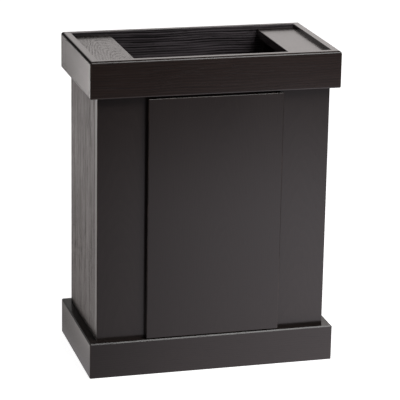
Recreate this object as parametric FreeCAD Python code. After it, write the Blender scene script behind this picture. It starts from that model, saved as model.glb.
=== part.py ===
import FreeCAD, Part
import math
import os

os.makedirs("parts", exist_ok=True)

# Free-standing wooden book drop box. Millimetres, +Z up, the door faces -Y.
# The origin is on the floor at the centre of the footprint.

# Overall size
WIDTH = 559.0            # across the top trim and the base
DEPTH = 310.0            # front to back, across the top trim and the base
HEIGHT = 714.5
BOARD = 19.0             # thickness of every board and panel
TRIM_HEIGHT = 82.0
BASE_HEIGHT = 81.0

# Tray at the top
DECK_RECESS = 8.0        # the deck boards lie this far below the trim's top edge
OPENING_WIDTH = 345.0    # drop opening between the two deck boards
CLEAT_HEIGHT = 42.5      # from the top of the body panels to the underside of the decks
END_CLEAT_SETBACK = 10.0 # the short cleats stop this far short of the drop opening

# Door and the opening behind it
DOOR_WIDTH = 303.0
DOOR_THICK = 13.0        # half-inch board, so its face lies 3 mm behind those of trim and base
DOOR_BACK_GAP = 3.0      # between the door and the stiles, room for the push latch
DOOR_TOP_GAP = 5.0
DOOR_BOTTOM_GAP = 2.0
OVERLAY = 16.0           # how far the door covers the stiles and rails

# Edge roundings
TRIM_TOP_ROUND = 6.35    # quarter-inch roundover
TRIM_BOTTOM_ROUND = 3.0
BASE_TOP_CHAMFER = 2.4
CORNER_ROUND = 2.5       # vertical corners of trim and base
BODY_ROUND = 1.5
SMALL_ROUND = 1.0
DOOR_ROUND = 1.8
LEDGE_CHAMFER = 9.0      # sheds books past the top of the back panel and the top rail

# Inside
PANEL_LIFT = 3.0         # body panels end this far above the floor, so the base carries the box
FLOOR_CLEAT = 19.0

# Knife hinges
HINGE_EDGE_DISTANCE = 6.0  # from the door's right-hand edge to the pin's axis
LEAF_LENGTH = 46.0
LEAF_WIDTH = 8.0
LEAF_THICK = 2.5
PIN_RADIUS = 2.2
PIN_CLEARANCE = 0.06
PIN_REACH = 9.0          # how far the pin enters the door past its leaf's outer face
MORTISE_PLAY = 0.1
WASHER_PLAY = 0.05

# Push latch
LATCH_RADIUS = 5.0
LATCH_RIM_RADIUS = 6.0
LATCH_RIM_THICK = 1.5
LATCH_LENGTH = 50.0
LATCH_BORE_DEPTH = 47.0
PLUNGER_RADIUS = 3.0
PLUNGER_PLAY = 0.05
PLUNGER_LENGTH = 29.0
MAGNET_LENGTH = 4.0
MAGNET_AIR_GAP = 0.1
SPRING_WIRE = 0.6
SPRING_TURNS = 9
STRIKE_WIDTH = 12.0
STRIKE_HEIGHT = 32.0
STRIKE_THICK = 1.5
STRIKE_SCREW_PITCH = 20.0

# Fasteners
DOWEL_RADIUS = 3.0
DOWEL_LENGTH = 40.0
SCREW = {"length": 30.0, "shank": 1.8, "head": 3.6}
SHORT_SCREW = {"length": 12.0, "shank": 1.2, "head": 2.3}
STRIKE_SCREW = {"length": 9.0, "shank": 1.2, "head": 2.3}

# Planes worked out from the sizes above
X_OUT = WIDTH / 2
TRIM_FRONT = -DEPTH / 2
TRIM_BACK = DEPTH / 2
BODY_X = X_OUT - BOARD
BODY_FRONT = TRIM_FRONT + BOARD
BODY_BACK = TRIM_BACK - BOARD
INNER_X = BODY_X - BOARD
INNER_FRONT = BODY_FRONT + BOARD
INNER_BACK = BODY_BACK - BOARD
MIDDLE_Y = (BODY_FRONT + BODY_BACK) / 2
TRIM_BOTTOM = HEIGHT - TRIM_HEIGHT
DECK_TOP = HEIGHT - DECK_RECESS
DECK_BOTTOM = DECK_TOP - BOARD
BODY_TOP = DECK_BOTTOM - CLEAT_HEIGHT
DOOR_BACK = BODY_FRONT - DOOR_BACK_GAP
DOOR_FRONT = DOOR_BACK - DOOR_THICK
DOOR_BOTTOM = BASE_HEIGHT + DOOR_BOTTOM_GAP
DOOR_TOP = TRIM_BOTTOM - DOOR_TOP_GAP
DOORWAY_X = DOOR_WIDTH / 2 - OVERLAY
DOORWAY_BOTTOM = DOOR_BOTTOM + OVERLAY
DOORWAY_TOP = DOOR_TOP - OVERLAY
FLOOR_TOP = DOORWAY_BOTTOM
FLOOR_BOTTOM = FLOOR_TOP - BOARD
HINGE_X = DOOR_WIDTH / 2 - HINGE_EDGE_DISTANCE
HINGE_Y = (DOOR_FRONT + DOOR_BACK) / 2
LATCH_X = -(DOORWAY_X + OVERLAY / 2)
LATCH_Z = (DOOR_BOTTOM + DOOR_TOP) / 2

V = FreeCAD.Vector
UP = V(0, 0, 1)
DOWN = V(0, 0, -1)
nodes = {}
SIDES = (("left", -1), ("right", 1))
FOUR_SIDES = ("front", "right", "back", "left")


def block(x0, x1, y0, y1, z0, z1):
    """A box between two corners, given in any order along X."""
    low, high = min(x0, x1), max(x0, x1)
    return Part.makeBox(high - low, y1 - y0, z1 - z0, V(low, y0, z0))


def middle(edge):
    """The point halfway between an edge's ends."""
    a, b = edge.Vertexes[0].Point, edge.Vertexes[-1].Point
    return (a + b) * 0.5


def runs_along(edge, axis):
    """True for a straight edge parallel to the axis "x", "y" or "z"."""
    span = edge.Vertexes[-1].Point - edge.Vertexes[0].Point
    others = [getattr(span, name) for name in "xyz" if name != axis]
    return abs(getattr(span, axis)) > 1.0 and all(abs(value) < 1e-6 for value in others)


def soften(solid, radius, pick):
    """Round every edge that pick() accepts."""
    return solid.makeFillet(radius, [edge for edge in solid.Edges if pick(edge)])


def near(value, target):
    return abs(value - target) < 1e-3


# ---- fasteners ----

def screw_body(size):
    """A countersunk screw at the origin, its head's face at z = 0 and its point towards +Z."""
    head_depth = size["head"] - size["shank"]
    tip = 2.0 * size["shank"]
    straight = size["length"] - head_depth - tip
    head = Part.makeCone(size["head"], size["shank"], head_depth)
    shank = Part.makeCylinder(size["shank"], straight, V(0, 0, head_depth))
    point = Part.makeCone(size["shank"], 0.0, tip, V(0, 0, head_depth + straight))
    return head.fuse([shank, point]).removeSplitter()


def with_drive(screw, size):
    """Cut the cross that a screwdriver fits into a screw's head."""
    arm, slot, depth = size["head"] * 0.6, size["head"] * 0.18, size["head"] * 0.35
    across = Part.makeBox(2 * arm, 2 * slot, depth, V(-arm, -slot, 0))
    along = Part.makeBox(2 * slot, 2 * arm, depth, V(-slot, -arm, 0))
    return screw.cut([across, along])


def placed(solid, point, direction):
    """A copy of a solid drawn along +Z, moved to a point and turned to a direction."""
    moved = solid.copy()
    moved.Placement = FreeCAD.Placement(point, FreeCAD.Rotation(UP, direction))
    return moved


def fasten(name, size, spots, boards):
    """Add a group of like screws and cut their holes in the boards they hold."""
    plain = screw_body(size)
    driven = with_drive(plain, size)
    nodes[name] = Part.makeCompound([placed(driven, point, way) for point, way in spots])
    holes = [placed(plain, point, way) for point, way in spots]
    for board in boards:
        nodes[board] = nodes[board].cut(holes)


# ---- mitred frames round the top and the foot ----

def mitred_boards(prefix, ring):
    """Split a closed frame into its four boards along the 45 degree mitres."""
    reach = 4 * BOARD
    x, front, back = X_OUT, TRIM_FRONT, TRIM_BACK
    outer = {"fl": V(-x - 1, front - 1, -1), "fr": V(x + 1, front - 1, -1),
             "bl": V(-x - 1, back + 1, -1), "br": V(x + 1, back + 1, -1)}
    inner = {"fl": V(-x + reach, front + reach, -1), "fr": V(x - reach, front + reach, -1),
             "bl": V(-x + reach, back - reach, -1), "br": V(x - reach, back - reach, -1)}
    sides = {"front": ("fl", "fr"), "right": ("fr", "br"), "back": ("br", "bl"), "left": ("bl", "fl")}
    for side, (a, b) in sides.items():
        outline = Part.makePolygon([outer[a], outer[b], inner[b], inner[a], outer[a]])
        wedge = Part.Face(outline).extrude(V(0, 0, HEIGHT + 2))
        nodes[prefix + "_" + side] = ring.common(wedge)


def frame_ring(z0, z1, bottom_round, ease_top):
    """A rectangular frame of boards set on edge; ease_top(solid, edges) eases its outer top edges."""
    outer = block(-X_OUT, X_OUT, TRIM_FRONT, TRIM_BACK, z0, z1)
    outer = soften(outer, CORNER_ROUND, lambda edge: runs_along(edge, "z"))
    outer = ease_top(outer, [edge for edge in outer.Edges if near(middle(edge).z, z1)])
    outer = soften(outer, bottom_round, lambda edge: near(middle(edge).z, z0))
    return outer.cut(block(-BODY_X, BODY_X, BODY_FRONT, BODY_BACK, z0 - 1, z1 + 1))


def make_trim():
    def ease_top(solid, edges):
        return solid.makeFillet(TRIM_TOP_ROUND, edges)

    def inner_top_edges(edge):
        reach = max(abs(edge.BoundBox.XMin), abs(edge.BoundBox.XMax))
        return near(middle(edge).z, HEIGHT) and reach < BODY_X + 1

    ring = frame_ring(TRIM_BOTTOM, HEIGHT, TRIM_BOTTOM_ROUND, ease_top)
    mitred_boards("trim", soften(ring, SMALL_ROUND, inner_top_edges))


def make_base():
    def ease_top(solid, edges):
        return solid.makeChamfer(BASE_TOP_CHAMFER, edges)

    mitred_boards("base", frame_ring(0.0, BASE_HEIGHT, SMALL_ROUND, ease_top))


# ---- body panels and the frame round the doorway ----

def ledge_bevel(y_edge, y_inside):
    """The wedge taken off a panel's inner top edge where books drop past it."""
    corner = V(0, y_edge, BODY_TOP)
    along_top = V(0, y_edge + math.copysign(LEDGE_CHAMFER, y_edge - y_inside), BODY_TOP)
    down_face = V(0, y_edge, BODY_TOP - LEDGE_CHAMFER)
    half = OPENING_WIDTH / 2 + END_CLEAT_SETBACK
    face = Part.Face(Part.makePolygon([corner, along_top, down_face, corner]))
    face.translate(V(-half, 0, 0))
    return face.extrude(V(2 * half, 0, 0))


FRONT_BEVEL = ledge_bevel(INNER_FRONT, MIDDLE_Y)
BACK_BEVEL = ledge_bevel(INNER_BACK, MIDDLE_Y)


def make_side_panel(side, sign):
    panel = block(sign * INNER_X, sign * BODY_X, INNER_FRONT, BODY_BACK, PANEL_LIFT, BODY_TOP)

    def outer_back(edge):
        spot = middle(edge)
        return runs_along(edge, "z") and near(abs(spot.x), BODY_X) and near(spot.y, BODY_BACK)

    nodes["side_panel_" + side] = soften(panel, BODY_ROUND, outer_back)


def make_stile(side, sign):
    stile = block(sign * DOORWAY_X, sign * BODY_X, BODY_FRONT, INNER_FRONT, PANEL_LIFT, BODY_TOP)

    def outer_front(edge):
        spot = middle(edge)
        return runs_along(edge, "z") and near(abs(spot.x), BODY_X) and near(spot.y, BODY_FRONT)

    def doorway_edges(edge):
        return runs_along(edge, "z") and near(abs(middle(edge).x), DOORWAY_X)

    stile = soften(stile, BODY_ROUND, outer_front)
    stile = soften(stile, SMALL_ROUND, doorway_edges)
    nodes["stile_" + side] = stile.cut(FRONT_BEVEL)


def make_rails():
    top = block(-DOORWAY_X, DOORWAY_X, BODY_FRONT, INNER_FRONT, DOORWAY_TOP, BODY_TOP)
    top = soften(top, SMALL_ROUND, lambda e: runs_along(e, "x") and near(middle(e).z, DOORWAY_TOP))
    nodes["top_rail"] = top.cut(FRONT_BEVEL)
    low = block(-DOORWAY_X, DOORWAY_X, BODY_FRONT, INNER_FRONT, PANEL_LIFT, DOORWAY_BOTTOM)

    def front_sill(edge):
        spot = middle(edge)
        return runs_along(edge, "x") and near(spot.z, DOORWAY_BOTTOM) and near(spot.y, BODY_FRONT)

    nodes["bottom_rail"] = soften(low, SMALL_ROUND, front_sill)


def make_back_panel():
    panel = block(-INNER_X, INNER_X, INNER_BACK, BODY_BACK, PANEL_LIFT, BODY_TOP)
    nodes["back_panel"] = panel.cut(BACK_BEVEL)


def make_floor():
    nodes["floor_panel"] = block(-INNER_X, INNER_X, INNER_FRONT, INNER_BACK, FLOOR_BOTTOM, FLOOR_TOP)
    low, high = FLOOR_BOTTOM - FLOOR_CLEAT, FLOOR_BOTTOM
    inner = INNER_X - FLOOR_CLEAT
    for side, sign in SIDES:
        nodes["floor_cleat_" + side] = block(sign * inner, sign * INNER_X, INNER_FRONT, INNER_BACK, low, high)
    nodes["floor_cleat_front"] = block(-inner, inner, INNER_FRONT, INNER_FRONT + FLOOR_CLEAT, low, high)
    nodes["floor_cleat_back"] = block(-inner, inner, INNER_BACK - FLOOR_CLEAT, INNER_BACK, low, high)


def make_frame_dowels():
    """Two dowels at each end of both rails, across the joint with the stile."""
    heights = [DOORWAY_TOP + 9, BODY_TOP - 9 - LEDGE_CHAMFER, 25.0, 80.0]
    pin = Part.makeCylinder(DOWEL_RADIUS, DOWEL_LENGTH, V(0, 0, -DOWEL_LENGTH / 2))
    pin = pin.makeChamfer(0.8, [edge for edge in pin.Edges if not runs_along(edge, "z")])
    y = (BODY_FRONT + INNER_FRONT) / 2
    spots = [V(sign * DOORWAY_X, y, z) for _, sign in SIDES for z in heights]
    dowels = [placed(pin, spot, V(1, 0, 0)) for spot in spots]
    nodes["frame_dowels"] = Part.makeCompound(dowels)
    for board in ("stile_left", "stile_right", "top_rail", "bottom_rail"):
        nodes[board] = nodes[board].cut(dowels)


# ---- deck boards and the cleats under them ----

def make_deck(side, sign):
    edge_x = OPENING_WIDTH / 2
    deck = block(sign * edge_x, sign * BODY_X, BODY_FRONT, BODY_BACK, DECK_BOTTOM, DECK_TOP)

    def opening_edges(edge):
        return runs_along(edge, "y") and near(abs(middle(edge).x), edge_x)

    nodes["deck_" + side] = soften(deck, SMALL_ROUND, opening_edges)
    x0, x1 = sign * INNER_X, sign * BODY_X
    nodes["deck_cleat_" + side] = block(x0, x1, BODY_FRONT, BODY_BACK, BODY_TOP, DECK_BOTTOM)
    x0 = sign * (edge_x + END_CLEAT_SETBACK)
    x1 = sign * INNER_X
    nodes["deck_cleat_front_" + side] = block(x0, x1, BODY_FRONT, INNER_FRONT, BODY_TOP, DECK_BOTTOM)
    nodes["deck_cleat_back_" + side] = block(x0, x1, INNER_BACK, BODY_BACK, BODY_TOP, DECK_BOTTOM)


# ---- door ----

def make_door():
    half = DOOR_WIDTH / 2
    door = block(-half, half, DOOR_FRONT, DOOR_BACK, DOOR_BOTTOM, DOOR_TOP)
    door = soften(door, SMALL_ROUND, lambda edge: runs_along(edge, "y"))
    door = soften(door, DOOR_ROUND, lambda edge: near(middle(edge).y, DOOR_FRONT))
    door = soften(door, SMALL_ROUND, lambda edge: near(middle(edge).y, DOOR_BACK))
    nodes["door_panel"] = door


def leaf_outline(z0, height, radius):
    """A round-ended bar that starts on the hinge axis and lies over the door's edge."""
    far = HINGE_X - LEAF_LENGTH + LEAF_WIDTH
    bar = block(far, HINGE_X, HINGE_Y - radius, HINGE_Y + radius, z0, z0 + height)
    near_end = Part.makeCylinder(radius, height, V(HINGE_X, HINGE_Y, z0))
    far_end = Part.makeCylinder(radius, height, V(far, HINGE_Y, z0))
    return bar.fuse([near_end, far_end]).removeSplitter()


def hinge_cylinder(radius, z0, z1):
    return Part.makeCylinder(radius, z1 - z0, V(HINGE_X, HINGE_Y, z0))


def make_leaf(name, board, z0, bore):
    """A hinge leaf let into a board, flush with the board's face."""
    outline = leaf_outline(z0, LEAF_THICK, LEAF_WIDTH / 2)
    nodes[name] = outline.cut(hinge_cylinder(bore, z0 - 1, z0 + LEAF_THICK + 1))
    mortise = leaf_outline(z0, LEAF_THICK, LEAF_WIDTH / 2 + MORTISE_PLAY)
    nodes[board] = nodes[board].cut(mortise)


def make_hinge(place, board, fixed_z, door_z, washer, pin):
    """One knife hinge: a fixed leaf with its pin, a washer, and the leaf on the door."""
    make_leaf("hinge_" + place + "_fixed_leaf", board, fixed_z, PIN_RADIUS)
    make_leaf("hinge_" + place + "_door_leaf", "door_panel", door_z, PIN_RADIUS + PIN_CLEARANCE)
    nodes["hinge_" + place + "_pin"] = hinge_cylinder(PIN_RADIUS, pin[0], pin[1])
    z0, z1 = washer[0] + WASHER_PLAY, washer[1] - WASHER_PLAY
    ring = hinge_cylinder(LEAF_WIDTH / 2, z0, z1)
    nodes["hinge_" + place + "_washer"] = ring.cut(hinge_cylinder(PIN_RADIUS + PIN_CLEARANCE, z0, z1))
    bore = hinge_cylinder(PIN_RADIUS + 0.8, pin[0] - 0.6, pin[1] + 0.6)
    nodes["door_panel"] = nodes["door_panel"].cut(bore)


def make_hinges():
    top_pin = (DOOR_TOP - PIN_REACH, TRIM_BOTTOM + LEAF_THICK)
    make_hinge("top", "trim_front", TRIM_BOTTOM, DOOR_TOP - LEAF_THICK, (DOOR_TOP, TRIM_BOTTOM), top_pin)
    low_pin = (BASE_HEIGHT - LEAF_THICK, DOOR_BOTTOM + PIN_REACH)
    make_hinge("bottom", "base_front", BASE_HEIGHT - LEAF_THICK, DOOR_BOTTOM,
               (BASE_HEIGHT, DOOR_BOTTOM), low_pin)
    columns = [HINGE_X - 16.0, HINGE_X - 31.0]
    fixed = [(V(x, HINGE_Y, TRIM_BOTTOM), UP) for x in columns]
    fixed += [(V(x, HINGE_Y, BASE_HEIGHT), DOWN) for x in columns]
    moving = [(V(x, HINGE_Y, DOOR_TOP), DOWN) for x in columns]
    moving += [(V(x, HINGE_Y, DOOR_BOTTOM), UP) for x in columns]
    fasten("hinge_fixed_screws", SHORT_SCREW, fixed,
           ["hinge_top_fixed_leaf", "trim_front", "hinge_bottom_fixed_leaf", "base_front"])
    fasten("hinge_door_screws", SHORT_SCREW, moving,
           ["hinge_top_door_leaf", "hinge_bottom_door_leaf", "door_panel"])


# ---- push latch behind the door's free edge ----

def latch_cylinder(radius, y0, y1):
    return Part.makeCylinder(radius, y1 - y0, V(LATCH_X, y0, LATCH_Z), V(0, 1, 0))


def make_latch_housing():
    barrel = latch_cylinder(LATCH_RADIUS, BODY_FRONT, BODY_FRONT + LATCH_LENGTH)
    rim = latch_cylinder(LATCH_RIM_RADIUS, BODY_FRONT, BODY_FRONT + LATCH_RIM_THICK)
    outside = barrel.fuse(rim).removeSplitter()
    bore = latch_cylinder(PLUNGER_RADIUS + PLUNGER_PLAY, BODY_FRONT, BODY_FRONT + LATCH_BORE_DEPTH)
    nodes["latch_housing"] = outside.cut(bore)
    nodes["stile_left"] = nodes["stile_left"].cut(outside)


def make_latch_plunger():
    """The magnet at the plunger's tip rests against the strike plate on the closed door."""
    tip = DOOR_BACK + MAGNET_AIR_GAP
    shoulder = tip + MAGNET_LENGTH
    nodes["latch_magnet"] = latch_cylinder(PLUNGER_RADIUS, tip, shoulder)
    nodes["latch_plunger"] = latch_cylinder(PLUNGER_RADIUS, shoulder, shoulder + PLUNGER_LENGTH)
    return shoulder + PLUNGER_LENGTH


def make_latch_spring(y0, y1):
    coil_radius = PLUNGER_RADIUS - SPRING_WIRE
    rise = y1 - y0 - 2 * SPRING_WIRE
    path = Part.makeHelix(rise / SPRING_TURNS, rise, coil_radius)
    wire_end = Part.Wire(Part.makeCircle(SPRING_WIRE / 2, V(coil_radius, 0, 0), V(0, 1, 0)))
    coil = Part.Wire(path).makePipeShell([wire_end], True, True)
    nodes["latch_spring"] = placed(coil, V(LATCH_X, y0 + SPRING_WIRE, LATCH_Z), V(0, 1, 0))


def make_strike():
    half_width, half_height = STRIKE_WIDTH / 2, STRIKE_HEIGHT / 2
    plate = block(LATCH_X - half_width, LATCH_X + half_width, DOOR_BACK - STRIKE_THICK, DOOR_BACK,
                  LATCH_Z - half_height, LATCH_Z + half_height)
    plate = soften(plate, 2.0, lambda edge: runs_along(edge, "y"))
    nodes["strike_plate"] = plate
    nodes["door_panel"] = nodes["door_panel"].cut(plate)
    heights = (LATCH_Z - STRIKE_SCREW_PITCH / 2, LATCH_Z + STRIKE_SCREW_PITCH / 2)
    spots = [(V(LATCH_X, DOOR_BACK, z), V(0, -1, 0)) for z in heights]
    fasten("strike_screws", STRIKE_SCREW, spots, ["strike_plate", "door_panel"])


# ---- screws that hold the boards together ----

def outward(sign):
    return V(sign, 0, 0)


def screw_trim():
    """Through the deck cleats into the trim boards."""
    z = (BODY_TOP + DECK_BOTTOM) / 2
    spots = []
    for _, sign in SIDES:
        spots += [(V(sign * INNER_X, y, z), outward(sign)) for y in (MIDDLE_Y - 95, MIDDLE_Y, MIDDLE_Y + 95)]
        x = sign * (OPENING_WIDTH / 2 + END_CLEAT_SETBACK + INNER_X) / 2
        spots.append((V(x, INNER_FRONT, z), V(0, -1, 0)))
        spots.append((V(x, INNER_BACK, z), V(0, 1, 0)))
    cleats = [name for name in nodes if name.startswith("deck_cleat_")]
    fasten("trim_screws", SCREW, spots, cleats + ["trim_" + side for side in FOUR_SIDES])


def screw_base():
    """Through the body panels into the base boards, under the floor."""
    z = BASE_HEIGHT / 2
    spots = []
    for _, sign in SIDES:
        spots += [(V(sign * INNER_X, y, z), outward(sign)) for y in (MIDDLE_Y - 90, MIDDLE_Y, MIDDLE_Y + 90)]
    for x in (-190.0, 0.0, 190.0):
        spots.append((V(x, INNER_FRONT, z), V(0, -1, 0)))
        spots.append((V(x, INNER_BACK, z), V(0, 1, 0)))
    panels = ["side_panel_left", "side_panel_right", "back_panel", "stile_left", "stile_right", "bottom_rail"]
    fasten("base_screws", SCREW, spots, panels + ["base_" + side for side in FOUR_SIDES])


def screw_floor():
    """Cleats to the panels round them, then the floor down onto the side cleats."""
    z = FLOOR_BOTTOM - FLOOR_CLEAT / 2
    inner = INNER_X - FLOOR_CLEAT
    spots = []
    for _, sign in SIDES:
        spots += [(V(sign * inner, MIDDLE_Y + dy, z), outward(sign)) for dy in (-50, 50)]
    for x in (-160.0, 0.0, 160.0):
        spots.append((V(x, INNER_FRONT + FLOOR_CLEAT, z), V(0, -1, 0)))
        spots.append((V(x, INNER_BACK - FLOOR_CLEAT, z), V(0, 1, 0)))
    cleats = ["floor_cleat_" + side for side in FOUR_SIDES]
    panels = ["side_panel_left", "side_panel_right", "back_panel", "stile_left", "stile_right", "bottom_rail"]
    fasten("floor_cleat_screws", SCREW, spots, cleats + panels)
    x = INNER_X - FLOOR_CLEAT / 2
    spots = [(V(sign * x, MIDDLE_Y + dy, FLOOR_TOP), DOWN) for _, sign in SIDES for dy in (-80, 0, 80)]
    fasten("floor_screws", SCREW, spots, ["floor_panel", "floor_cleat_left", "floor_cleat_right"])


make_trim()
make_base()
for side, sign in SIDES:
    make_side_panel(side, sign)
    make_stile(side, sign)
    make_deck(side, sign)
make_rails()
make_back_panel()
make_floor()
make_frame_dowels()
make_door()
make_hinges()
make_latch_housing()
plunger_end = make_latch_plunger()
make_latch_spring(plunger_end, BODY_FRONT + LATCH_BORE_DEPTH)
make_strike()
screw_trim()
screw_base()
screw_floor()

for name, shape in nodes.items():
    shape.exportStep("parts/" + name + ".step")
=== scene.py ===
import math

import bpy
from mathutils import Matrix, Vector


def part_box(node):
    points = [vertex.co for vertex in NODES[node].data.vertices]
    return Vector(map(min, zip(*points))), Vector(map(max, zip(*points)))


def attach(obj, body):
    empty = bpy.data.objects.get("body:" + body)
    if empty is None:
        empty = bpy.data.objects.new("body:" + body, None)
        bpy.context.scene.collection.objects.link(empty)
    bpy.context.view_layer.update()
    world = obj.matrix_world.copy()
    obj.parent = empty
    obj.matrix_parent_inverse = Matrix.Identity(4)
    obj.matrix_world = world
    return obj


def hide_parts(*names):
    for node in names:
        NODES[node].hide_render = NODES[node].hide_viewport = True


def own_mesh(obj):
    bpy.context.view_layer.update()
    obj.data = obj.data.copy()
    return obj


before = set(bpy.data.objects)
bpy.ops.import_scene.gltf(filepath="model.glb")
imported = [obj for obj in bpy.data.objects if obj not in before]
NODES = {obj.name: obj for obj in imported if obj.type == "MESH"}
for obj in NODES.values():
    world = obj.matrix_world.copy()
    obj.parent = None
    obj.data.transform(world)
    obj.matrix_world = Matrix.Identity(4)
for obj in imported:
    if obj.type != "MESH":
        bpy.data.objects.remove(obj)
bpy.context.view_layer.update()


# ---------------------------------------------------------------- node helpers

class Tree:
    """A short way to add nodes to one node tree."""

    def __init__(self, tree):
        self.tree = tree

    def put(self, socket, value):
        if isinstance(value, bpy.types.NodeSocket):
            self.tree.links.new(value, socket)
        else:
            socket.default_value = value

    def add(self, kind, settings=None, **inputs):
        node = self.tree.nodes.new(kind)
        for name, value in (settings or {}).items():
            setattr(node, name, value)
        for name, value in inputs.items():
            self.put(node.inputs[name.replace("_", " ")], value)
        return node

    def math(self, operation, *values, clamp=False):
        node = self.tree.nodes.new("ShaderNodeMath")
        node.operation = operation
        node.use_clamp = clamp
        for socket, value in zip(node.inputs, values):
            self.put(socket, value)
        return node.outputs[0]

    def plus(self, a, b):
        return self.math("ADD", a, b)

    def minus(self, a, b):
        return self.math("SUBTRACT", a, b)

    def times(self, a, b):
        return self.math("MULTIPLY", a, b)

    def clamp(self, value, low, high):
        return self.math("MINIMUM", self.math("MAXIMUM", value, low), high)

    def line(self, value, slope, start):
        """slope * value + start"""
        return self.math("MULTIPLY_ADD", value, slope, start)

    def vector(self, operation, *values):
        node = self.tree.nodes.new("ShaderNodeVectorMath")
        node.operation = operation
        for socket, value in zip(node.inputs, values):
            self.put(socket, value)
        return node.outputs["Vector"]

    def smooth(self, value, low, high, out_low=0.0, out_high=1.0):
        node = self.add("ShaderNodeMapRange", {"interpolation_type": "SMOOTHSTEP"})
        for socket, item in zip(node.inputs, (value, low, high, out_low, out_high)):
            self.put(socket, item)
        return node.outputs[0]

    def mix(self, factor, a, b):
        node = self.add("ShaderNodeMix", {"data_type": "RGBA"})
        self.put(node.inputs["Factor"], factor)
        self.put(node.inputs[6], a)
        self.put(node.inputs[7], b)
        return node.outputs[2]

    def noise(self, vector, scale=1.0, detail=2.0, roughness=0.5):
        node = self.add("ShaderNodeTexNoise", Vector=vector, Scale=scale, Detail=detail,
                        Roughness=roughness)
        return node.outputs["Fac"]

    def drift(self, vector, scales, amounts, detail):
        """A noise that moves each axis on its own, by up to about half of amounts either way."""
        node = self.add("ShaderNodeTexNoise", Vector=self.stretch(vector, *scales), Detail=detail)
        either_way = self.vector("SUBTRACT", node.outputs["Color"], (0.5, 0.5, 0.5))
        return self.stretch(either_way, *amounts)

    def stretch(self, vector, x, y, z):
        return self.vector("MULTIPLY", vector, (x, y, z))

    def split(self, vector):
        return self.add("ShaderNodeSeparateXYZ", Vector=vector).outputs[:3]

    def join(self, x, y, z):
        return self.add("ShaderNodeCombineXYZ", X=x, Y=y, Z=z).outputs[0]


def group(name, inputs, outputs):
    """A node group: its helper, its input sockets by name and its output node."""
    tree = bpy.data.node_groups.new(name, "ShaderNodeTree")
    for title, kind in inputs:
        tree.interface.new_socket(title, in_out="INPUT", socket_type=kind)
    for title in outputs:
        tree.interface.new_socket(title, in_out="OUTPUT", socket_type=FLOAT)
    entry = tree.nodes.new("NodeGroupInput")
    leave = tree.nodes.new("NodeGroupOutput")
    return Tree(tree), {title: entry.outputs[title] for title, _ in inputs}, leave


def new_material(name):
    material = bpy.data.materials.new(name)
    material.use_nodes = True
    return material, Tree(material.node_tree), material.node_tree.nodes["Principled BSDF"]


# ---------------------------------------------------------------- wood

FLOAT, VECTOR = "NodeSocketFloat", "NodeSocketVector"
GRAIN_OUTPUTS = ("Late", "Streak", "Pore", "Fibre", "Mottle", "Height")


def make_grain_group():
    """Solid wood grain, so that faces and end grain of one board agree.

    Board space, in metres: x across the board, y along the grain, z through it. Shift moves the
    fine grain only, so that no two boards share it.
    """
    inputs = (("Board", VECTOR), ("Shift", VECTOR), ("Pith", VECTOR), ("Lean", FLOAT),
              ("Ring width", FLOAT), ("Waviness", FLOAT), ("Knot", VECTOR), ("Knot reach", FLOAT))
    t, socket, leave = group("wood_grain", inputs, GRAIN_OUTPUTS)
    board = socket["Board"]
    # slow bends of the whole grain, then small wobbles of each ring
    log = t.vector("ADD", board, socket["Shift"])
    bend = t.vector("ADD", t.drift(log, (3, 1.2, 3), (0.02, 0, 0.02), 1.0),
                    t.drift(log, (25, 4, 25), (0.0015, 0, 0.0015), 2.0))
    wave = socket["Waviness"]
    bent = t.vector("ADD", board, t.vector("MULTIPLY", bend, t.join(wave, wave, wave)))
    bx, by, bz = t.split(bent)
    px, _, pz = t.split(socket["Pith"])
    depth = t.plus(t.minus(bz, pz), t.times(by, socket["Lean"]))
    side = t.minus(bx, px)
    radius = t.math("SQRT", t.plus(t.times(depth, depth), t.times(side, side)))
    # a knot pushes the rings aside and has tight rings of its own
    kx, ky, _ = t.split(t.vector("SUBTRACT", bent, socket["Knot"]))
    away = t.math("SQRT", t.plus(t.times(kx, kx), t.times(t.times(ky, ky), 0.35)))
    reach = t.math("MAXIMUM", socket["Knot reach"], 0.0001)
    close = t.math("EXPONENT", t.times(t.math("DIVIDE", away, reach), -1.0))
    has_knot = t.math("GREATER_THAN", socket["Knot reach"], 0.001)
    radius = t.plus(radius, t.times(t.times(close, has_knot), t.times(reach, 1.3)))
    turn = t.math("FRACT", t.math("DIVIDE", radius, socket["Ring width"]))
    late = t.times(t.smooth(turn, 0.45, 0.92), t.smooth(turn, 0.93, 1.0, 1.0, 0.0))
    early = t.smooth(turn, 0.0, 0.45, 1.0, 0.0)
    # open pores: long dark grooves, mostly in the early wood
    fine = t.vector("ADD", bent, socket["Shift"])
    pores = t.noise(t.stretch(fine, 1300, 12, 1300), detail=1.0)
    streak = t.noise(t.stretch(fine, 210, 2.6, 210), detail=2.0, roughness=0.6)
    crowd = t.times(t.smooth(streak, 0.36, 0.66), t.line(early, 0.6, 0.4))
    low = t.line(crowd, -0.20, 0.66)
    pore = t.smooth(pores, low, t.plus(low, 0.09))
    fibre = t.noise(t.stretch(fine, 520, 5, 520), detail=3.0, roughness=0.6)
    broad = t.noise(t.stretch(fine, 90, 1.6, 90), detail=2.0)
    mottle = t.noise(t.stretch(log, 9, 3, 9), detail=2.0)
    height = t.minus(t.times(fibre, 0.22), pore)
    height = t.plus(height, t.plus(t.times(late, 0.35), t.times(broad, 0.5)))
    for name, value in zip(GRAIN_OUTPUTS, (late, streak, pore, fibre, mottle, height)):
        t.put(leave.inputs[name], value)
    return t.tree


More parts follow.
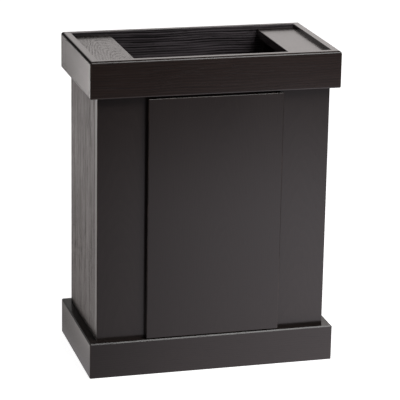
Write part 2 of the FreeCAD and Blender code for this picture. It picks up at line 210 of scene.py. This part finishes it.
def make_wear_group():
    """Rubbed edges: 1 along a box's edges, in patches, and 0 on its faces."""
    t, socket, leave = group("edge_wear", (("Place", VECTOR), ("Half", VECTOR)), ("Wear",))
    place = socket["Place"]
    a, b, c = t.split(t.vector("SUBTRACT", socket["Half"], t.vector("ABSOLUTE", place)))
    # the second smallest of the three distances to a side is the distance to the nearest edge
    edge = t.math("MAXIMUM", t.math("MINIMUM", a, b), t.math("MINIMUM", t.math("MAXIMUM", a, b), c))
    ragged = t.line(t.noise(place, scale=260, detail=3.0), 0.0024, -0.0012)
    band = t.smooth(t.plus(edge, ragged), 0.0006, 0.0024, 1.0, 0.0)
    patches = t.smooth(t.noise(place, scale=14, detail=2.0), 0.42, 0.66)
    t.put(leave.inputs["Wear"], t.times(band, t.line(patches, 0.85, 0.15)))
    return t.tree


GRAIN = make_grain_group()
WEAR = make_wear_group()
STAIN_DARK = (0.0215, 0.0162, 0.0146)
STAIN_LIGHT = (0.0370, 0.0280, 0.0255)
WORN = (0.105, 0.078, 0.062, 1)


def wood(name, axes, centre, half, shift, pith=(0, 0, -0.12), lean=0.10, ring=0.0045, wave=1.0,
         knot=(0, 0, 0), reach=0.0, dark=STAIN_DARK, light=STAIN_LIGHT, relief=0.2, contrast=0.6,
         rough=0.19, rough_spread=0.05, ring_gloss=0.0, streak_gloss=0.0,
         edge_rough=0.0, late_share=0.45, streak_share=0.7, mottle_share=0.5, wear=0.5):
    """A board's material; centre and half are the board's box in board space."""
    material, t, shader = new_material(name)
    parts = t.split(t.add("ShaderNodeTexCoord").outputs["Object"])
    place = t.vector("SUBTRACT", t.join(*(parts[i] for i in axes)), centre)
    grain = t.add("ShaderNodeGroup", {"node_tree": GRAIN}, Board=place, Shift=shift,
                  Pith=pith, Lean=lean, Ring_width=ring, Waviness=wave, Knot=knot, Knot_reach=reach)
    late, streak, pore, fibre, mottle, height = (grain.outputs[n] for n in GRAIN_OUTPUTS)
    tone = t.line(t.minus(late, 0.3), late_share * contrast, 0.5)
    shares = ((fibre, 0.9 * contrast), (streak, streak_share * contrast), (mottle, mottle_share))
    for value, share in shares:
        tone = t.plus(tone, t.times(t.minus(value, 0.5), share))
    colour = t.mix(t.clamp(tone, 0.0, 1.0), (*dark, 1), (*light, 1))
    colour = t.mix(t.times(pore, min(0.8, 0.6 * contrast)), colour, (*(0.35 * c for c in dark), 1))
    rubbed = t.add("ShaderNodeGroup", {"node_tree": WEAR}, Place=place, Half=half).outputs[0]
    rubbed = t.times(rubbed, wear)
    t.put(shader.inputs["Base Color"], t.mix(rubbed, colour, WORN))
    gloss = t.plus(t.line(t.minus(fibre, 0.5), rough_spread, rough), t.times(pore, 0.25 * relief))
    gloss = t.plus(gloss, t.times(t.minus(mottle, 0.5), 0.06))
    patchy = t.smooth(mottle, 0.35, 0.65, 0.3 * ring_gloss, 1.2 * ring_gloss)
    gloss = t.plus(gloss, t.times(t.minus(0.35, late), patchy))
    gloss = t.plus(gloss, t.times(t.minus(streak, 0.5), streak_gloss))
    across = t.split(t.vector("SUBTRACT", half, t.vector("ABSOLUTE", place)))[0]
    gloss = t.plus(gloss, t.smooth(across, 0.0004, 0.0022, edge_rough, 0.0))
    t.put(shader.inputs["Roughness"], t.math("ADD", gloss, t.times(rubbed, 0.12), clamp=True))
    bump = t.add("ShaderNodeBump", Strength=min(relief, 1.0), Distance=0.00012 * max(relief, 1.0),
                 Height=height)
    t.put(shader.inputs["Normal"], bump.outputs[0])
    return material


# ---------------------------------------------------------------- materials per node

def log_place(index):
    """A different place in the log for each board, the same every run."""
    return (0.37 * index + 0.11, 1.13 * index + 0.29, 0.19 * index + 0.05)


BOARDS = {name: log_place(index) for index, name in enumerate(sorted(NODES))}


def board_wood(node, along=None, **look):
    """The wood of one node, its grain along its longest side unless along says otherwise."""
    low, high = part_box(node)
    size = high - low
    thin = min(range(3), key=lambda i: size[i])
    grain = "xyz".index(along) if along else max(range(3), key=lambda i: size[i])
    across = 3 - thin - grain if thin != grain else (grain + 1) % 3
    axes = (across, grain, thin)
    middle = (low + high) / 2
    shift = BOARDS[node]
    aside, below = 0.02 * math.sin(7 * shift[0]), 0.10 + 0.05 * math.sin(3 * shift[0])
    look.setdefault("pith", (aside, 0, -below))
    return wood("wood_" + node, axes, [middle[i] for i in axes], [size[i] / 2 for i in axes],
                shift, **look)


WARM = dict(dark=(0.0260, 0.0180, 0.0150), light=(0.0520, 0.0370, 0.0310))
SIDE = dict(along="z", pith=(-0.5, 0, -0.1), ring=0.0065, wave=0.7, relief=1.8, contrast=1.3,
            rough=0.48, rough_spread=0.38, ring_gloss=0.18, streak_gloss=0.55, **WARM)
STILE = dict(relief=0.08, contrast=0.25, edge_rough=0.14)
REDDISH = dict(dark=(0.0190, 0.0130, 0.0115), light=(0.0420, 0.0265, 0.0220))
LOOKS = {
    "trim_front": dict(pith=(-0.3, 0, 0), ring=0.006, lean=0.03, wave=0.8, contrast=1.0,
                       relief=0.2, **REDDISH),
    # trim_back is coloured much lighter and more contrasted than the other boards. This is painted
    # light: it stands in for the light and sheen on the inside face of the back board. Its stripes
    # follow the grain.
    "trim_back": dict(pith=(-0.25, 0, 0), ring=0.0058, lean=0.012, wave=0.5, contrast=1.4,
                      relief=1.2, late_share=0.5, streak_share=1.6, mottle_share=1.6, rough=0.3,
                      dark=(0.0125, 0.0105, 0.0115), light=(0.135, 0.116, 0.127)),
    "trim_left": dict(relief=0.15, contrast=0.5, rough=0.15),
    "trim_right": dict(relief=0.15, contrast=0.5),
    "base_front": dict(pith=(-0.3, 0, 0), ring=0.005, lean=0.03, wave=0.8, contrast=0.5,
                       relief=0.2),
    "side_panel_left": SIDE,
    "side_panel_right": SIDE,
    "back_panel": dict(along="z", ring=0.007, relief=0.8, contrast=0.9),
    "stile_left": STILE,
    "stile_right": STILE,
    "door_panel": dict(along="z", relief=0.08, contrast=0.25),
    "deck_left": dict(along="y", pith=(0.014, 0, -0.022), lean=0.26, ring=0.0050, wave=1.6,
                      ring_gloss=0.13, knot=(-0.030, 0.062, 0), reach=0.016, contrast=1.4,
                      relief=0.8, rough=0.22),
    "deck_right": dict(along="y", relief=0.15, contrast=0.5),
}
DOWEL = dict(along="x", dark=(0.42, 0.27, 0.14), light=(0.62, 0.44, 0.26), rough=0.6, wear=0.0)
INNER = dict(rough=0.5, rough_spread=0.15, relief=1.2, contrast=0.9, wear=0.2)


FINE_BUMP = 0.00004


def simple(name, colour, second, metallic, rough, scale, bump, stretch=(1, 1, 1)):
    """A metal or plastic finish: two near tones, uneven gloss and a fine surface."""
    material, t, shader = new_material(name)
    place = t.stretch(t.add("ShaderNodeTexCoord").outputs["Object"], *stretch)
    fine = t.noise(place, scale=scale, detail=3.0)
    cloud = t.noise(place, scale=scale / 12, detail=2.0)
    t.put(shader.inputs["Base Color"], t.mix(cloud, (*colour, 1), (*second, 1)))
    t.put(shader.inputs["Roughness"], t.line(fine, 0.2, rough - 0.1))
    shader.inputs["Metallic"].default_value = metallic
    raised = t.add("ShaderNodeBump", Strength=bump, Distance=FINE_BUMP, Height=fine)
    t.put(shader.inputs["Normal"], raised.outputs[0])
    return material


BRUSHED = (1, 1, 0.06)
STEEL = simple("satin_steel", (0.42, 0.42, 0.43), (0.50, 0.50, 0.50), 1.0, 0.38, 900, 0.5, BRUSHED)
BLACKED = simple("blacked_steel", (0.018, 0.017, 0.016), (0.030, 0.027, 0.025), 0.0, 0.4, 900, 0.5,
                 BRUSHED)
ZINC = simple("zinc_plate", (0.56, 0.55, 0.50), (0.64, 0.60, 0.50), 1.0, 0.32, 1400, 0.3)
NYLON = simple("black_nylon", (0.018, 0.018, 0.019), (0.026, 0.025, 0.025), 0.0, 0.5, 1800, 0.3)
PLASTIC = simple("latch_plastic", (0.055, 0.055, 0.06), (0.065, 0.065, 0.07), 0.0, 0.5, 2200, 0.6)


def finish_of(node):
    if "screws" in node:
        return ZINC
    if "washer" in node:
        return NYLON
    if node in ("latch_housing", "latch_plunger"):
        return PLASTIC
    if node.startswith("hinge"):
        return BLACKED
    if node in ("latch_magnet", "latch_spring", "strike_plate"):
        return STEEL
    if node == "frame_dowels":
        return board_wood(node, **DOWEL)
    if "cleat" in node or node == "floor_panel":
        return board_wood(node, **INNER)
    return board_wood(node, **LOOKS.get(node, {}))


for node in NODES:
    slots = NODES[node].data.materials
    slots.clear()
    slots.append(finish_of(node))


# ---------------------------------------------------------------- latch spring


def make_spring():
    """The coil: a copy of the spring part with its own mesh, fixed to the cabinet, while the spring
    part itself is hidden.
    """
    coil = bpy.data.objects.new("latch_coil", NODES["latch_spring"].data.copy())
    bpy.context.scene.collection.objects.link(coil)
    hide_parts("latch_spring")
    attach(coil, "cabinet")
    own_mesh(coil)


make_spring()


# ---------------------------------------------------------------- stage

def card(name, size, place, turn=0.0):
    """A flat stage piece; turn, in degrees about X, stands it up."""
    w, d = size[0] / 2, size[1] / 2
    mesh = bpy.data.meshes.new(name)
    mesh.from_pydata([(-w, -d, 0), (w, -d, 0), (w, d, 0), (-w, d, 0)], [], [(0, 1, 2, 3)])
    piece = bpy.data.objects.new(name, mesh)
    piece.location = place
    piece.rotation_euler = (math.radians(turn), 0, 0)
    bpy.context.scene.collection.objects.link(piece)
    return piece


def glow_card(name, size, place, turn, light_of):
    """A card that the camera doesn't see, only the surfaces that it lights.

    light_of(t, x, y) gives its strength and colour at a place on the card.
    """
    piece = card(name, size, place, turn)
    piece.visible_camera = False
    piece.visible_shadow = False
    material, t, shader = new_material(name)
    t.tree.nodes.remove(shader)
    x, y, _ = t.split(t.add("ShaderNodeTexCoord").outputs["Object"])
    strength, colour = light_of(t, x, y)
    emission = t.add("ShaderNodeEmission", Strength=strength, Color=colour)
    t.put(t.tree.nodes["Material Output"].inputs["Surface"], emission.outputs[0])
    piece.data.materials.append(material)


def only_seen(piece):
    """The camera sees it, and it neither lights nor shades the object."""
    for flag in ("visible_glossy", "visible_diffuse", "visible_transmission"):
        setattr(piece, flag, False)


def pale(name, base, emission):
    material, _, shader = new_material(name)
    shader.inputs["Base Color"].default_value = (base, base, base, 1)
    shader.inputs["Roughness"].default_value = 0.9
    shader.inputs["Specular IOR Level"].default_value = 0.0
    shader.inputs["Emission Color"].default_value = (1, 1, 1, 1)
    shader.inputs["Emission Strength"].default_value = emission
    return material


STAGE_SPAN = 24.0
DOME_RADIUS = 11.5
DOME_RINGS, DOME_SPOKES = 12, 48
FRONT_TINT = (1.01, 0.962, 1.02, 1)
REAR_TINT = (1.0, 0.945, 0.93, 1)
# the tangent of the camera's yaw, and one over it
FRONT_LANE_SLOPE, LEFT_LANE_SLOPE = 0.276, 3.62
GLOW_DROP = 0.002       # the floor's glow lies this far under the floor that is seen


def floor_light(t, x, y):
    """The floor's brightness by place, in zones fixed in the room.

    They were set by comparing renders with the photograph, so they suit the main view. A lane is
    the strip of floor that the camera sees reflected in one upright line of a face.
    """
    # in front: brighter to the right up to a dark side, and fading away from the box
    lane = t.plus(x, t.times(y, FRONT_LANE_SLOPE))
    across = t.clamp(t.line(lane, 1.55, 1.0), 0.1, 1.4)
    across = t.times(across, t.smooth(lane, 0.34, 0.9, 1.0, 0.15))
    far_right = t.times(t.smooth(y, -2.3, -1.8, 0.6, 0.0), t.smooth(lane, -0.1, 0.3))
    front = t.times(t.times(across, t.smooth(y, -3.05, -1.2)), t.plus(far_right, 1.0))
    front = t.times(front, t.smooth(y, -0.6, -0.3, 1.0, 0.93))
    # behind and to the left: brighter towards the front, most of all far from the box
    lane = t.plus(y, t.times(x, LEFT_LANE_SLOPE))
    outer = t.clamp(t.line(lane, -7.0, -4.75), 0.5, 2.6)
    inner = t.clamp(t.line(lane, -14.0, -12.1), 0.0, 4.0)
    rear = t.plus(t.times(outer, t.smooth(x, -0.95, -0.82, 1.35, 0.0)),
                  t.times(inner, t.smooth(x, -0.38, -0.31, 0.23, 0.05)))
    near = t.times(t.smooth(x, -0.38, -0.31, 0.45, 0.30), t.smooth(x, -0.70, -0.45, 0.0, 1.0))
    rear = t.plus(rear, near)
    rear = t.times(rear, t.smooth(x, -1.45, -1.25))
    left = t.times(t.smooth(y, -0.35, 0.1), t.smooth(x, -0.30, -0.26, 1.0, 0.0))
    behind = t.math("MAXIMUM", t.smooth(y, 0.0, 0.4), left)
    strength = t.plus(t.times(front, t.minus(1.0, behind)), t.times(rear, behind))
    return strength, t.mix(behind, FRONT_TINT, REAR_TINT)


WALL_WIDTH, WALL_HEIGHT, WALL_BOTTOM, WALL_Y = 6.0, 1.45, 0.75, 1.6


def wall_light(t, x, y):
    """Brighter to the right, dark at the left end, and fading upwards from the card's middle."""
    level = t.clamp(t.line(x, 0.31, 0.98), 0.3, 1.3)
    level = t.times(level, t.smooth(x, -0.6, -0.1, 0.0, 1.0))
    return t.times(level, t.smooth(y, 0.0, 0.6, 1.0, 0.05)), REAR_TINT


def make_stage():
    floor = card("floor", (STAGE_SPAN, STAGE_SPAN), (0, 0, 0))
    floor.data.materials.append(pale("pale_floor", 0.8, 0.95))
    only_seen(floor)
    glow_card("floor_glow", (STAGE_SPAN, STAGE_SPAN), (0, 0, -GLOW_DROP), 0, floor_light)
    wall_place = (0, WALL_Y, WALL_BOTTOM + WALL_HEIGHT / 2)
    glow_card("wall_glow", (WALL_WIDTH, WALL_HEIGHT), wall_place, 90, wall_light)
    points, faces = [], []
    for i in range(DOME_RINGS + 1):
        up = math.pi / 2 * i / DOME_RINGS
        for j in range(DOME_SPOKES):
            round_ = 2 * math.pi * j / DOME_SPOKES
            x, y = math.cos(up) * math.cos(round_), math.cos(up) * math.sin(round_)
            points.append([DOME_RADIUS * v for v in (x, y, math.sin(up))])
    for i in range(DOME_RINGS):
        for j in range(DOME_SPOKES):
            a, b = i * DOME_SPOKES + j, i * DOME_SPOKES + (j + 1) % DOME_SPOKES
            faces.append((a, b, b + DOME_SPOKES, a + DOME_SPOKES))
    mesh = bpy.data.meshes.new("backdrop")
    mesh.from_pydata(points, [], faces)
    dome = bpy.data.objects.new("backdrop", mesh)
    bpy.context.scene.collection.objects.link(dome)
    dome.data.materials.append(pale("backdrop_white", 0.0, 1.0))
    only_seen(dome)
    dome.visible_shadow = False


make_stage()


# ---------------------------------------------------------------- light

TOP_CENTRE = (0, 0, 0.68)
SOFTBOX_PLACE = (1.0, -1.85, 2.95)
SOFTBOX_SIZE = (1.6, 1.6)
SOFTBOX_WATTS = 50


def softbox(name, place, aim, size, power):
    data = bpy.data.lights.new(name, "AREA")
    data.shape = "RECTANGLE"
    data.size, data.size_y = size
    data.energy = power
    lamp = bpy.data.objects.new(name, data)
    lamp.location = place
    lamp.rotation_mode = "QUATERNION"
    lamp.rotation_quaternion = (Vector(aim) - Vector(place)).to_track_quat("-Z", "Y")
    bpy.context.scene.collection.objects.link(lamp)


def make_world():
    """A dim room: a little light from in front and behind, and a dark ceiling."""
    world = bpy.data.worlds.new("studio")
    bpy.context.scene.world = world
    world.use_nodes = True
    t = Tree(world.node_tree)
    _, y, z = t.split(t.add("ShaderNodeTexCoord").outputs["Generated"])
    level = t.plus(t.smooth(z, 0.1, 0.7, 0.2, 0.03), t.smooth(y, 0.0, 0.9, 0.0, 0.08))
    background = t.tree.nodes["Background"]
    background.inputs["Color"].default_value = (1, 0.99, 0.985, 1)
    t.put(background.inputs["Strength"], level)


make_world()
softbox("softbox", SOFTBOX_PLACE, TOP_CENTRE, SOFTBOX_SIZE, SOFTBOX_WATTS)
bpy.context.scene.view_settings.view_transform = "Standard"
bpy.context.scene.view_settings.look = "None"


# ---------------------------------------------------------------- camera

CAMERA_PLACE = (-1.1863, -4.3256, 1.7118)
CAMERA_YAW, CAMERA_PITCH, CAMERA_ROLL = 15.429, 16.905, 1.016      # degrees
LENS_MM, SENSOR_MM = 187.04, 36.0


def make_camera():
    yaw, pitch, roll = (math.radians(a) for a in (CAMERA_YAW, CAMERA_PITCH, CAMERA_ROLL))
    ahead = math.cos(pitch)
    forward = Vector((math.sin(yaw) * ahead, math.cos(yaw) * ahead, -math.sin(pitch)))
    level = forward.cross(Vector((0, 0, 1))).normalized()
    upright = level.cross(forward)
    right = math.cos(roll) * level + math.sin(roll) * upright
    up = math.cos(roll) * upright - math.sin(roll) * level
    data = bpy.data.cameras.new("camera")
    data.lens = LENS_MM
    data.sensor_width = SENSOR_MM
    camera = bpy.data.objects.new("camera", data)
    turn = Matrix((right, up, -forward)).transposed()
    camera.matrix_world = Matrix.Translation(Vector(CAMERA_PLACE)) @ turn.to_4x4()
    bpy.context.scene.collection.objects.link(camera)
    bpy.context.scene.camera = camera


make_camera()
